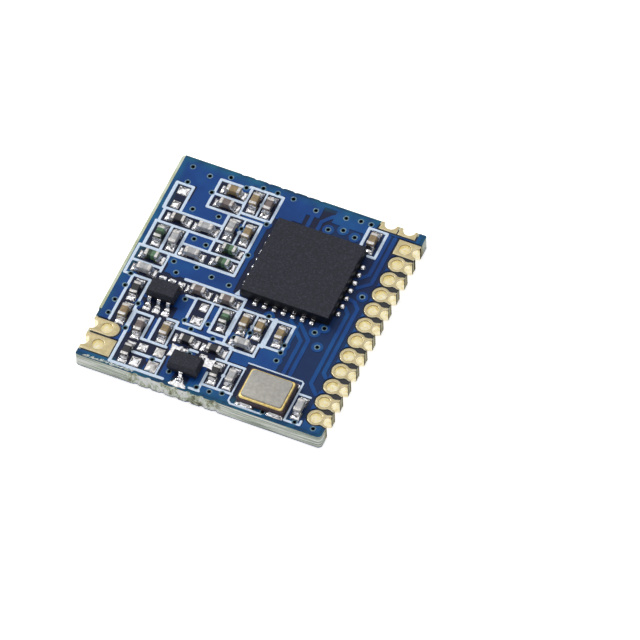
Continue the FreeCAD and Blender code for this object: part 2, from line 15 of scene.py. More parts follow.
import bmesh
import bpy
from mathutils import Matrix, Vector


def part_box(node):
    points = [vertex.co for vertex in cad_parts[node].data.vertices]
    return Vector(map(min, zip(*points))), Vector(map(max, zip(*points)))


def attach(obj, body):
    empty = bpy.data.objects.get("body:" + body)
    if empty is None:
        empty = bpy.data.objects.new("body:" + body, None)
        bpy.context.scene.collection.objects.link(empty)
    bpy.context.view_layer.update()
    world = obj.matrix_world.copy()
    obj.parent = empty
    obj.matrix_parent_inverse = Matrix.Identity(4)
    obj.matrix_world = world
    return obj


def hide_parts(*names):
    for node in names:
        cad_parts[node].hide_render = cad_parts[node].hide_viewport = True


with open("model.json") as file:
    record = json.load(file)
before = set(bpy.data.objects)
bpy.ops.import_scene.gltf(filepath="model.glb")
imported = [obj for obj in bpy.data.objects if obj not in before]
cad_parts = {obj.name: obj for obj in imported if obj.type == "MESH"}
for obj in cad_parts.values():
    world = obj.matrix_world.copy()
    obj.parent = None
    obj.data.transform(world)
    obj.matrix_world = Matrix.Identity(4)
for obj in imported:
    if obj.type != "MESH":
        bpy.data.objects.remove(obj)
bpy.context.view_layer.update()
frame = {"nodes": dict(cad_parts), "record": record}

MM = 0.001
MICRON = 0.000001
HAIR = 1e-7
nodes = frame["nodes"]
print("frame loaded with", len(nodes), "nodes")

# %% [markdown]
# ## Where the camera stands
#
# The photograph was taken from far away with a long lens, so parallel edges stay almost
# parallel. The camera looks down at the board from its front right. Three angles and a distance
# from the point in the middle of the picture are easier to read than a matrix, so the camera's
# axes are built from them. MM and MICRON turn lengths into the scene's metres, and HAIR is a
# length too small to see, for picking faces and edges by their place.

# %% Camera
AIM = Vector((4.823, -0.173, 1.2)) * MM
DISTANCE = 491.76 * MM
AZIMUTH = math.radians(25.86)
ELEVATION = math.radians(54.646)
ROLL = math.radians(-2.669)
LENS_MM = 440.4

back = Vector((
    math.sin(AZIMUTH) * math.cos(ELEVATION),
    -math.cos(AZIMUTH) * math.cos(ELEVATION),
    math.sin(ELEVATION),
))
level = Vector((0, 0, 1)).cross(back).normalized()
right = Matrix.Rotation(ROLL, 3, back) @ level
up = back.cross(right)
camera_data = bpy.data.cameras.new("camera")
camera_data.lens = LENS_MM
camera_data.clip_start = 0.01
camera_data.clip_end = 10
camera = bpy.data.objects.new("camera", camera_data)
bpy.context.scene.collection.objects.link(camera)
axes = Matrix((right, up, back)).transposed().to_4x4()
camera.matrix_world = Matrix.Translation(AIM + back * DISTANCE) @ axes
bpy.context.scene.camera = camera
print("camera at", [round(c / MM, 1) for c in camera.location], "mm")

# %% [markdown]
# ## Light like a product studio
#
# Solder is a mirror, so what it shows is mostly the room. One wide soft lamp above the back edge
# lights the flat faces and gives the metal its white side. A small one at the left adds glints
# and short shadows. A weak one in front opens the dark sides, and one over the right front
# corner brightens the solder that faces the camera. The world stays a dark grey: the darker
# parts of the metal come from it.

# %% Lamps and world
scene = bpy.context.scene
scene.view_settings.view_transform = "Standard"


def add_lamp(name, azimuth, elevation, distance, size, power):
    """A square area lamp that faces the board, placed by compass angle and height."""
    data = bpy.data.lights.new(name, "AREA")
    data.size = size
    data.energy = power
    lamp = bpy.data.objects.new(name, data)
    scene.collection.objects.link(lamp)
    a, e = math.radians(azimuth), math.radians(elevation)
    direction = Vector((math.sin(a) * math.cos(e), -math.cos(a) * math.cos(e), math.sin(e)))
    turn = direction.to_track_quat("Z", "Y").to_matrix().to_4x4()
    lamp.matrix_world = Matrix.Translation(direction * distance) @ turn


# Name, azimuth and elevation in degrees, distance and size in metres, power in watts
add_lamp("overhead", 212, 64, 0.34, 0.50, 0.82)
add_lamp("side", 262, 48, 0.38, 0.09, 0.42)
add_lamp("front", -20, 22, 0.45, 0.30, 0.16)
add_lamp("shoulder", 52, 46, 0.45, 0.16, 0.34)
DARK_GREY = (0.13, 0.133, 0.14, 1)
world = bpy.data.worlds.new("studio")
world.use_nodes = True
world.node_tree.nodes["Background"].inputs["Color"].default_value = DARK_GREY
world.node_tree.nodes["Background"].inputs["Strength"].default_value = 1.0
scene.world = world
print("four lamps and a dark grey world")

# %% [markdown]
# ## Helpers for materials
#
# Every finish here starts from the Principled shader and a few procedural nodes that read
# Object coordinates. Those are the metres of the part itself, so a pattern stays on its piece.
# Sizes are tenths of a millimetre, so noise scales are thousands of cycles per metre. The board
# is centred on the origin, so the distance to its edges comes from two coordinates. A roughness
# that varies a little comes from a noise squeezed between wide limits: -1.1 and 2.2 turn its
# middle value, 0.5, into 0.48 and its large swings into small ones.

# %% Material helpers
board_low, board_high = (Vector(c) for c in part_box("substrate"))


def tint(red, green, blue):
    """A colour as seen on screen, 0 to 255, as the linear values that sockets take."""
    def linear(c):
        c /= 255
        return c / 12.92 if c <= 0.04045 else ((c + 0.055) / 1.055) ** 2.4
    return (linear(red), linear(green), linear(blue), 1.0)


class Finish:
    """One material and short calls for the nodes it needs."""

    def __init__(self, name, colour, roughness, metallic=0.0):
        self.mat = bpy.data.materials.new(name)
        self.mat.use_nodes = True
        self.tree = self.mat.node_tree
        self.shader = self.tree.nodes["Principled BSDF"]
        self.set("Base Color", colour)
        self.set("Roughness", roughness)
        self.set("Metallic", metallic)
        self.coords = self.tree.nodes.new("ShaderNodeTexCoord")

    def set(self, socket, value):
        """Put a plain value on the shader, or link it if it is another node's output."""
        if isinstance(value, bpy.types.NodeSocket):
            self.tree.links.new(value, self.shader.inputs[socket])
        else:
            self.shader.inputs[socket].default_value = value

    def node(self, kind, inputs=(), **settings):
        """Any node: its settings by name, and its inputs as values or links."""
        made = self.tree.nodes.new(kind)
        for key, value in settings.items():
            setattr(made, key, value)
        for key, value in dict(inputs).items():
            if isinstance(value, bpy.types.NodeSocket):
                self.tree.links.new(value, made.inputs[key])
            else:
                made.inputs[key].default_value = value
        return made

    def noise(self, scale, detail=3.0, stretch=(1, 1, 1), rough=0.5):
        """Cloudy variation. A stretch over 1 squeezes the pattern along that axis."""
        source = {"Vector": self.coords.outputs["Object"], "Scale": stretch}
        place = self.node("ShaderNodeMapping", source).outputs[0]
        inputs = {"Vector": place, "Scale": scale, "Detail": detail, "Roughness": rough}
        return self.node("ShaderNodeTexNoise", inputs).outputs["Fac"]

    def axis(self, letter):
        """One Object coordinate, in metres."""
        split = self.node("ShaderNodeSeparateXYZ", {0: self.coords.outputs["Object"]})
        return split.outputs[letter]

    def ramp(self, fac, stops):
        """Colours along a factor: a list of (place, colour)."""
        made = self.node("ShaderNodeValToRGB", {"Fac": fac})
        bar = made.color_ramp.elements
        while len(bar) < len(stops):
            bar.new(1.0)
        for element, (place, colour) in zip(bar, stops):
            element.position = place
            element.color = colour
        return made.outputs["Color"]

    def between(self, value, low, high):
        """0 below low, 1 above high, and a straight run between them."""
        inputs = {"Value": value, "From Min": low, "From Max": high}
        return self.node("ShaderNodeMapRange", inputs).outputs["Result"]

    def mix(self, fac, first, second):
        """The first colour at a factor of 0 and the second at 1."""
        made = self.node("ShaderNodeMix", data_type="RGBA")
        for key, value in ((0, fac), (6, first), (7, second)):
            if isinstance(value, bpy.types.NodeSocket):
                self.tree.links.new(value, made.inputs[key])
            else:
                made.inputs[key].default_value = value
        return made.outputs[2]

    def math(self, operation, first, second=0.0):
        """One step of arithmetic on factors or coordinates."""
        return self.node("ShaderNodeMath", {0: first, 1: second}, operation=operation).outputs[0]

    def edge_distance(self):
        """How far a point lies inside the nearer of the board's four edges."""
        from_side = self.math("SUBTRACT", board_high.x, self.math("ABSOLUTE", self.axis("X")))
        from_back = self.math("SUBTRACT", board_high.y, self.math("ABSOLUTE", self.axis("Y")))
        return self.math("MINIMUM", from_side, from_back)

    def bump(self, height, depth, strength=1.0):
        """Fine relief; depth is its real height in metres."""
        inputs = {"Height": height, "Distance": depth, "Strength": strength}
        self.set("Normal", self.node("ShaderNodeBump", inputs).outputs["Normal"])


print("material helpers ready")

# %% [markdown]
# ## Helpers for modelling
#
# Edit mode operators act on whatever is selected, and the frame arrives selected, so each
# helper first deselects everything. A finished piece keeps its object at the origin, with its
# place in its mesh, as the frame's own nodes do.

# %% Modelling helpers
def work_on(piece):
    """Make a piece the only selected and active object."""
    bpy.ops.object.select_all(action="DESELECT")
    piece.select_set(True)
    bpy.context.view_layer.objects.active = piece


def add_block(name, low, high):
    """A cube primitive stretched between two corners, with its place in its mesh."""
    low, high = Vector(low), Vector(high)
    bpy.ops.object.select_all(action="DESELECT")
    bpy.ops.mesh.primitive_cube_add(size=1, location=(low + high) / 2, scale=high - low)
    piece = bpy.context.object
    piece.name = name
    bpy.ops.object.transform_apply(location=True, rotation=True, scale=True)
    return piece


def edit(piece):
    """Open a piece in edit mode."""
    work_on(piece)
    bpy.ops.object.mode_set(mode="EDIT")


def done():
    """Leave edit mode."""
    bpy.ops.object.mode_set(mode="OBJECT")


def pick_faces(piece, test):
    """Select the faces whose middle and normal pass the test, in edit mode."""
    bpy.ops.mesh.select_mode(type="FACE")
    bpy.ops.mesh.select_all(action="DESELECT")
    cage = bmesh.from_edit_mesh(piece.data)
    for face in cage.faces:
        face.select_set(bool(test(face.calc_center_median(), face.normal)))
    bmesh.update_edit_mesh(piece.data)


def pick_edges(piece, test):
    """Select the edges whose two ends pass the test, in edit mode."""
    bpy.ops.mesh.select_mode(type="EDGE")
    bpy.ops.mesh.select_all(action="DESELECT")
    cage = bmesh.from_edit_mesh(piece.data)
    for edge in cage.edges:
        edge.select_set(bool(test(edge.verts[0].co, edge.verts[1].co)))
    bmesh.update_edit_mesh(piece.data)


def modify(piece, kind, **settings):
    """Add a modifier, set it and apply it."""
    work_on(piece)
    added = piece.modifiers.new(kind.lower(), kind)
    for key, value in settings.items():
        setattr(added, key, value)
    bpy.ops.object.modifier_apply(modifier=added.name)


def copy_to(piece, name, x=0.0, y=0.0, turn=0.0, z=0.0):
    """A copy with its own mesh, turned about the origin and then moved."""
    made = bpy.data.objects.new(name, piece.data.copy())
    scene.collection.objects.link(made)
    spin = Matrix.Rotation(math.radians(turn), 4, "Z")
    made.data.transform(Matrix.Translation((x, y, z)) @ spin)
    return made


def join(pieces, name):
    """Join several pieces into one."""
    bpy.ops.object.select_all(action="DESELECT")
    for piece in pieces:
        piece.select_set(True)
    bpy.context.view_layer.objects.active = pieces[0]
    bpy.ops.object.join()
    pieces[0].name = name
    return pieces[0]


def lumpy(piece, size, depth):
    """Push the surface in and out by a cloud pattern that runs through space."""
    clouds = bpy.data.textures.new(piece.name + "_lumps", "CLOUDS")
    clouds.noise_scale = size
    clouds.noise_depth = 2
    modify(piece, "DISPLACE", texture=clouds, strength=depth, texture_coords="LOCAL")


def smooth(piece, angle=35):
    """Smooth shading that keeps edges sharper than the angle, in degrees."""
    work_on(piece)
    bpy.ops.object.shade_smooth_by_angle(angle=math.radians(angle))


def put_on(piece, slot, finishes, *replaced):
    """Finish a piece: its materials, its body and the nodes it stands for, which it hides. The slot
    argument is not used.
    """
    piece.data.materials.clear()
    for finish in finishes:
        piece.data.materials.append(finish.mat)
    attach(piece, "root")
    if replaced:
        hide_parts(*replaced)


def dress(node, finish):
    """Give a node of the frame its finish."""
    mesh = nodes[node].data
    mesh.materials.clear()
    mesh.materials.append(finish.mat)


def islands(node):
    """The low and high corners of each separate solid in a node."""
    cage = bmesh.new()
    cage.from_mesh(nodes[node].data)
    bmesh.ops.remove_doubles(cage, verts=cage.verts, dist=HAIR)
    left, boxes = set(cage.verts), []
    while left:
        stack, group = [left.pop()], []
        while stack:
            vert = stack.pop()
            group.append(vert.co.copy())
            for edge in vert.link_edges:
                other = edge.other_vert(vert)
                if other in left:
                    left.remove(other)
                    stack.append(other)
        low = Vector([min(c[i] for c in group) for i in range(3)])
        high = Vector([max(c[i] for c in group) for i in range(3)])
        boxes.append((low, high))
    cage.free()
    return boxes


print("modelling helpers ready")

# %% [markdown]
# ## The blue solder mask
#
# Solder mask is a thin glossy lacquer. Over copper it lies a little higher and looks brighter,
# because the copper shines through it; over bare laminate it is nearly navy. The solid already
# has both levels, so the material only has to ask how high a point is. Among the chips on the
# left the lower level is darker still. A slow cloudiness stops the blue from looking like
# plastic. Near the cut edges, where no copper lies under it, the real mask turns greenish, so
# the distance to the edge mixes in some teal.

# %% Solder mask finish
board_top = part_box("solder_mask_top")[1][2]
mask_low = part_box("copper_top")[1][2]
mask = Finish("blue_solder_mask", tint(20, 68, 135), 0.34)
mask.set("Specular IOR Level", 0.2)
step = board_top - mask_low
over_copper = mask.between(mask.axis("Z"), mask_low + 0.2 * step, mask_low + 0.7 * step)
cloud = mask.noise(420, 3)
bright_stops = [(0.3, tint(12, 58, 122)), (0.5, tint(16, 68, 138)), (0.7, tint(20, 84, 146))]
bright = mask.ramp(cloud, bright_stops)
navy = mask.ramp(cloud, [(0.3, tint(14, 34, 76)), (0.7, tint(18, 50, 96))])
teal = mask.ramp(mask.noise(900, 2), [(0.35, tint(14, 72, 112)), (0.65, tint(26, 108, 136))])
TEAL_WANDER = 0.9 * MM
TEAL_FADE = 0.35 * MM
TEAL_SHARE = 0.75
CHIPS_END = 3.0 * MM
CHIPS_FADE = 2.2 * MM
wander = mask.math("MULTIPLY", mask.noise(350, 2), TEAL_WANDER)
edge_share = mask.between(mask.math("SUBTRACT", mask.edge_distance(), wander), TEAL_FADE, -TEAL_FADE)
shaded = mask.ramp(cloud, [(0.3, tint(20, 26, 52)), (0.7, tint(26, 36, 68))])
among_chips = mask.between(mask.axis("X"), CHIPS_END, CHIPS_FADE)
two_blues = mask.mix(over_copper, mask.mix(among_chips, navy, shaded), bright)
mask.set("Base Color", mask.mix(mask.math("MULTIPLY", edge_share, TEAL_SHARE), two_blues, teal))
mask.set("Roughness", mask.between(mask.noise(2500, 4), -1.1, 2.2))
mask.bump(mask.noise(9000, 4), 6 * MICRON, 0.3)
dress("solder_mask_top", mask)

under = Finish("blue_solder_mask_under", tint(26, 70, 138), 0.34)
under.set("Specular IOR Level", 0.2)
under_stops = [(0.3, tint(22, 58, 122)), (0.7, tint(30, 82, 148))]
under.set("Base Color", under.ramp(under.noise(500, 3), under_stops))
under.bump(under.noise(9000, 4), 6 * MICRON, 0.35)
dress("solder_mask_bottom", under)
print("mask levels", round(mask_low / MM, 4), round(board_top / MM, 4), "mm")

# %% [markdown]
# ## Printed lines
#
# The white ink is matte and slightly blue, with fine specks. Its solid is printed as straight
# bars with round ends, so the node keeps its shape and only gets a material.

# %% Ink finish
ink = Finish("printed_ink", tint(205, 222, 245), 0.62)
ink_stops = [(0.3, tint(196, 218, 244)), (0.6, tint(222, 236, 252))]
ink.set("Base Color", ink.ramp(ink.noise(9000, 5), ink_stops))
ink.bump(ink.noise(16000, 3), 10 * MICRON, 0.5)
dress("silkscreen_top", ink)
print("printed lines inked")

# %% [markdown]
# ## Dots on the thin lines
#
# Four thin lines between neighbouring chips carry a round dot of ink. A flat disc with a soft
# upper rim is modelled once at the origin, and a copy lies on each line.

# %% Dots of ink
DOT_RADIUS = 0.14 * MM
DOT_RIM = 0.012 * MM
DOT_PLACES = ((-2.17, 6.58), (-2.62, 4.05), (1.12, -2.3), (0.96, -6.43))
dot_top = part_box("silkscreen_top")[1][2] + 6 * MICRON
bpy.ops.mesh.primitive_cylinder_add(vertices=28, radius=DOT_RADIUS, depth=dot_top - board_top,
                                    location=(0, 0, (dot_top + board_top) / 2))
dot = bpy.context.object
bpy.ops.object.transform_apply(location=True)
edit(dot)
pick_edges(dot, lambda a, b: min(a.z, b.z) > dot_top - HAIR)
bpy.ops.mesh.bevel(offset=DOT_RIM, segments=3, affect="EDGES")
done()
smooth(dot, 50)
dots = [copy_to(dot, "dot", x * MM, y * MM) for x, y in DOT_PLACES]
bpy.data.objects.remove(dot)
put_on(join(dots, "printed_dots"), "printed_ink", [ink])
print(len(dots), "dots of ink")

# %% [markdown]
# ## Laminate
#
# The board is glass cloth in resin. On its cut sides the cloth shows as many thin layers, pale and
# grey-green. Noise that is squeezed hard along Z and left long along the board gives such streaks.
# Between the edge pads the sides are painted a darker brownish green, as painted shade. The middle of
# the front edge is ripped where a tab was snapped off, so there the place on the board picks other
# colours: pale specks and dark patches that are partly the tear's own colours and partly painted
# glints and painted shade of its relief. From above, the resin shows as a pale margin at the edge.
# Inside that margin and between the pads, where the bare top shows in gaps, it is painted dark as
# painted shade.

# %% Laminate finish
core = Finish("glass_laminate", tint(200, 206, 188), 0.55)
layers = core.noise(560, 5, stretch=(0.6, 0.6, 20), rough=0.7)
streaks = core.ramp(layers, [(0.36, tint(112, 124, 116)), (0.44, tint(180, 190, 174)),
                             (0.52, tint(222, 230, 214)), (0.6, tint(255, 255, 252))])
chips = core.noise(1500, 8, stretch=(1.2, 1, 0.75), rough=0.8)
# Pale specks and dark patches of the tear: partly its own colours, partly painted glints and painted
# shade of its relief.
torn_glints_and_shade = core.ramp(chips, [(0.38, tint(84, 84, 56)), (0.44, tint(166, 172, 140)),
                         (0.5, tint(230, 238, 222)), (0.56, tint(255, 255, 255))])
TORN_MIDDLE = -1.65 * MM
TORN_HALF = 3.15 * MM
TORN_FADE = 0.2 * MM
TORN_DEPTH = 3.0
past_middle = core.math("ABSOLUTE", core.math("SUBTRACT", core.axis("X"), TORN_MIDDLE))
torn_share = core.between(past_middle, TORN_HALF + TORN_FADE, TORN_HALF - TORN_FADE)
cut_side = core.mix(torn_share, streaks, torn_glints_and_shade)
PAD_ROW = (board_high.x - 0.9 * MM, board_high.x - 0.8 * MM)
PAD_ROW_END = (7.85 * MM, 7.65 * MM)
right_side = core.between(core.axis("X"), *PAD_ROW)
row_end = core.between(core.math("ABSOLUTE", core.axis("Y")), *PAD_ROW_END)
by_pads = core.math("MULTIPLY", right_side, row_end)
# Between the edge pads the sides are painted darker: painted shade.
olive_shade = core.ramp(layers, [(0.36, tint(122, 116, 70)), (0.6, tint(196, 190, 146))])
sides = core.mix(by_pads, cut_side, olive_shade)
on_top = core.between(core.axis("Z"), board_high.z - 0.03 * MM, board_high.z - 0.01 * MM)
MARGIN_WIDTH = 0.22 * MM
inside = core.between(core.edge_distance(), MARGIN_WIDTH, MARGIN_WIDTH + 0.04 * MM)
# The bare top inside the margin and by the pads is painted near black: painted shade in the gaps.
gap_shade = core.math("MULTIPLY", on_top, core.math("MAXIMUM", inside, by_pads))
margin = core.ramp(core.noise(1400, 4), [(0.35, tint(186, 192, 154)), (0.65, tint(226, 232, 210))])
sides_and_margin = core.mix(on_top, sides, margin)
core.set("Base Color", core.mix(gap_shade, sides_and_margin, tint(34, 36, 40)))
torn_relief = core.math("MULTIPLY", torn_share, core.math("MULTIPLY", chips, TORN_DEPTH))
core.bump(core.math("ADD", layers, torn_relief), 40 * MICRON, 0.7)
dress("substrate", core)
print("laminate torn over", round(2 * TORN_HALF / MM, 1), "mm of the front edge")

# %% [markdown]
# ## Gold, copper and solder
#
# The pads are gold over nickel, pale and slightly worn. The walls inside the holes are mirrors that
# show each other. Their gold is painted paler than the pads, as painted light for the glow they catch
# from below, and a band at their top is painted darker as painted shade. Where a hole is cut open at
# the board's edge, its walls need a darker copy of that gold, painted shade, to look the same. The
# mask around a via covers its ring, so only a greenish glimmer is left, and the barrel under the ring
# is painted near black as painted shade. Solder is bright tin: a metal with low roughness, whose look
# comes from its lumpy shape more than from its colour.

# %% Metal finishes
gold = Finish("gold_plate", tint(206, 190, 146), 0.42, metallic=0.55)
worn = gold.noise(3500, 4)
gold.set("Base Color", gold.ramp(worn, [(0.3, tint(188, 172, 128)), (0.55, tint(206, 190, 146)),
                                        (0.8, tint(222, 208, 170))]))
gold.set("Roughness", gold.between(worn, -0.8, 1.7))
gold.bump(gold.noise(12000, 4), 6 * MICRON, 0.5)

HALF_HOLE_REACH = 0.46 * MM
hole_gold = Finish("plated_wall", tint(250, 236, 180), 0.24, metallic=1.0)
mottle = hole_gold.noise(4200, 4)
# Wall gold painted paler than the pads: painted light for the glow from below.
lit_hole_gold = hole_gold.ramp(mottle, [(0.36, tint(240, 224, 170)), (0.6, tint(255, 251, 228))])
# A darker copy for the half holes at the edge: painted shade.
shaded_open_gold = hole_gold.ramp(mottle, [(0.36, tint(230, 214, 164)), (0.6, tint(252, 245, 214))])
cut_open = hole_gold.between(hole_gold.edge_distance(), HALF_HOLE_REACH, HALF_HOLE_REACH - 0.04 * MM)
# A darker band at the top of each wall: painted shade.
lip_shade = hole_gold.between(hole_gold.axis("Z"), board_top - 0.2 * MM, board_top - 0.05 * MM)
walls = hole_gold.mix(cut_open, lit_hole_gold, shaded_open_gold)
hole_gold.set("Base Color", hole_gold.mix(lip_shade, walls, tint(176, 160, 122)))
hole_gold.bump(hole_gold.noise(5000, 3), 18 * MICRON, 0.6)

# The slanted rims are painted paler than the pad tops: a painted highlight.
rim_highlight_gold = Finish("rim_highlight", tint(236, 224, 186), 0.3, metallic=0.5)
rim_highlight_stops = [(0.3, tint(226, 212, 168)), (0.65, tint(248, 240, 210))]
rim_highlight_gold.set("Base Color", rim_highlight_gold.ramp(rim_highlight_gold.noise(3000, 3), rim_highlight_stops))
rim_highlight_gold.bump(rim_highlight_gold.noise(12000, 3), 6 * MICRON, 0.4)

ring_gold = Finish("via_ring", tint(96, 132, 156), 0.4, metallic=0.2)
ring_stops = [(0.35, tint(52, 94, 124)), (0.65, tint(122, 152, 160))]
ring = ring_gold.ramp(ring_gold.noise(6000, 3), ring_stops)
half_thick = board_top / 2
above_middle = ring_gold.math("SUBTRACT", ring_gold.axis("Z"), half_thick)
from_middle = ring_gold.math("ABSOLUTE", above_middle)
ring_over_barrel_shade = ring_gold.between(from_middle, half_thick - 0.02 * MM, half_thick - 0.005 * MM)
# Below the ring the barrel is painted near black: painted shade.
ring_gold.set("Base Color", ring_gold.mix(ring_over_barrel_shade, tint(8, 12, 18), ring))

copper = Finish("copper", tint(104, 90, 70), 0.5, metallic=0.4)
copper_stops = [(0.3, tint(84, 74, 60)), (0.7, tint(120, 104, 80))]
copper.set("Base Color", copper.ramp(copper.noise(3000, 3), copper_stops))

solder = Finish("bright_solder", tint(228, 228, 232), 0.16, metallic=1.0)
frost = solder.noise(5000, 5)
solder.set("Base Color", solder.ramp(frost, [(0.3, tint(196, 192, 190)), (0.6, tint(238, 238, 242))]))
solder.set("Roughness", solder.between(frost, -0.05, 3.0))
solder.bump(solder.noise(6000, 2), 6 * MICRON, 0.4)

tin = Finish("dull_tin", tint(190, 188, 186), 0.34, metallic=0.9)
film = tin.noise(7000, 5)
tin_stops = [(0.3, tint(160, 156, 152)), (0.5, tint(204, 201, 198)), (0.7, tint(228, 226, 225))]
tin.set("Base Color", tin.ramp(film, tin_stops))
tin.set("Roughness", tin.between(film, -0.7, 1.9))
tin.bump(tin.noise(8000, 2), 10 * MICRON, 0.5)

dress("vias", ring_gold)
for node in ("copper_top", "copper_bottom"):
    dress(node, copper)
for node in ("component_lands", "spare_lands", "transceiver_contacts", "transceiver_heat_pad"):
    dress(node, solder)
print("metal finishes ready")

# %% [markdown]
# ## Chip parts
#
# A chip part is a ceramic block whose two ends are dipped in tin. The ceramic body starts as a
# cube and gets its edges bevelled. The end starts as a cube too: its inner face is inset and
# pushed in, which leaves a cup that fits over the block. Both are modelled once about the
# origin and copied to each place that the frame gives. The ceramic colour follows the node's
# own slot in the record, and the inductors have a second, darker half.

# %% Chip finishes
def ceramic(name, dark, light, roughness=0.5):
    """A fired ceramic with a fine cloudy colour."""
    made = Finish(name, light, roughness)
    made.set("Base Color", made.ramp(made.noise(5200, 4), [(0.32, dark), (0.68, light)]))
    made.bump(made.noise(15000, 3), 8 * MICRON, 0.5)
    return made


tan = ceramic("tan_ceramic", tint(132, 112, 78), tint(164, 142, 104))
brown = ceramic("brown_ceramic", tint(100, 88, 84), tint(130, 116, 112))
pale = ceramic("pale_ceramic", tint(158, 158, 158), tint(192, 192, 194), 0.4)
green = ceramic("green_ceramic", tint(72, 108, 76), tint(98, 136, 102))
dark_green = ceramic("dark_green_ceramic", tint(26, 48, 30), tint(42, 70, 46))
black = ceramic("black_glaze", tint(26, 26, 30), tint(42, 40, 45), 0.28)
slot_finish = {
    "tan_ceramic": [tan], "brown_ceramic": [brown], "pale_ceramic": [pale],
    "green_ceramic": [green, dark_green], "resistor_black": [black],
}
slot_of = {part["node"]: part["material_slot"] for part in frame["record"]["subparts"]}
CHIP_KINDS = ("capacitor", "inductor", "resistor")
chip_names = sorted(n for n in nodes if n.split("_")[0] in CHIP_KINDS)
print(len(chip_names), "chip parts")

# %% [markdown]
# ## The shape of solder
#
# Solder climbs what it wets and sags outwards in a curve that is steep first and flat at its
# foot. A block's outer face is extruded in four steps, and each step is scaled down towards the
# land, so the steps follow that curve. Bevels and a subdivision then make them soft.

# %% One ceramic body, one tinned end and one fillet of solder
SKIN = 0.015 * MM
END_LENGTH = 0.25 * MM
EDGE_ROUND = 0.035 * MM
LAND_OVERHANG = 0.37 * MM
LAND_WIDTH = 0.6 * MM
# How far out each step of a fillet reaches, and how much of its height is left there
SAG = ((0.1, 0.66), (0.28, 0.34), (0.55, 0.2), (1.0, 0.14))
DRAWN_IN = 0.86
CLIMB_SHARE = 0.72
LUMP_SIZE = 0.2 * MM
seat = board_top
land_level = mask_low


def chip_body(name, long, wide, low, high):
    """The ceramic block along X, with rounded edges and a line across its middle."""
    piece = add_block(name, (-long / 2, -wide / 2, low), (long / 2, wide / 2, high))
    edit(piece)
    bpy.ops.mesh.select_all(action="SELECT")
    bpy.ops.mesh.bevel(offset=EDGE_ROUND, segments=3, affect="EDGES")
    bpy.ops.mesh.select_all(action="SELECT")
    bpy.ops.mesh.bisect(plane_co=(0, 0, 0), plane_no=(1, 0, 0))
    done()
    smooth(piece)
    return piece


def chip_end(name, long, wide, low, high):
    """A tinned cup over the +X end of the block."""
    piece = add_block(name, (long / 2 - END_LENGTH, -wide / 2, low), (long / 2, wide / 2, high))
    edit(piece)
    pick_faces(piece, lambda c, n: n.x < -0.9)
    bpy.ops.mesh.inset(thickness=SKIN)
    bpy.ops.mesh.extrude_region_move(TRANSFORM_OT_translate={"value": (END_LENGTH - 2 * SKIN, 0, 0)})
    outer = long / 2 - 0.1 * SKIN
    pick_edges(piece, lambda a, b: a.x > outer and b.x > outer)
    bpy.ops.mesh.bevel(offset=2 * EDGE_ROUND, segments=3, affect="EDGES")
    pick_edges(piece, lambda a, b: abs(a.y) > wide / 2 - SKIN / 2 and abs(b.y - a.y) < HAIR
               and abs(a.z - b.z) < HAIR and a.z > high - SKIN / 2)
    bpy.ops.mesh.bevel(offset=EDGE_ROUND, segments=2, affect="EDGES")
    done()
    return piece


def fillet(name, inner, edge, outer, wide, rise, flare=1.0):
    """Solder along +X: it stands against what it wets at edge and sags down to outer."""
    piece = add_block(name, (inner, -wide / 2, land_level), (edge, wide / 2, rise))
    edit(piece)
    run = outer - edge
    foot = Vector((0, 0, land_level))
    height, reach = 1.0, 0.0
    for next_reach, next_height in SAG:
        front = edge + reach * run
        pick_faces(piece, lambda c, n: n.x > 0.9 and c.x > front - HAIR)
        step = (next_reach - reach) * run
        bpy.ops.mesh.extrude_region_move(TRANSFORM_OT_translate={"value": (step, 0, 0)})
        flat = next_height / height
        spread = 1 + (flare - 1) * (next_reach - reach)
        bpy.ops.transform.resize(value=(1, spread, flat), center_override=foot)
        reach, height = next_reach, next_height
    pick_faces(piece, lambda c, n: n.z > 0.1)
    bpy.ops.transform.resize(value=(1, DRAWN_IN, 1), center_override=foot)
    pick_edges(piece, lambda a, b: min(a.z, b.z) > land_level + HAIR and a.y * b.y > 0
               and abs(a.y - b.y) < 0.1 * wide and abs(a.x - b.x) > HAIR)
    bpy.ops.mesh.bevel(offset=0.16 * wide, segments=2, affect="EDGES")
    done()
    modify(piece, "SUBSURF", levels=2, render_levels=2)
    return piece


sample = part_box("capacitor_01")
chip_long = (sample[1][0] - sample[0][0]) + 2 * SKIN
chip_wide = (sample[1][1] - sample[0][1]) + 2 * SKIN
print("chip parts are", round(chip_long / MM, 3), "by", round(chip_wide / MM, 3), "mm")

# %% [markdown]
# ## Chips in their places
#
# The frame says where each chip lies and which way it points. The two ends and their fillets are
# the same model, turned by half a turn. All ends become one piece, because they share one node.

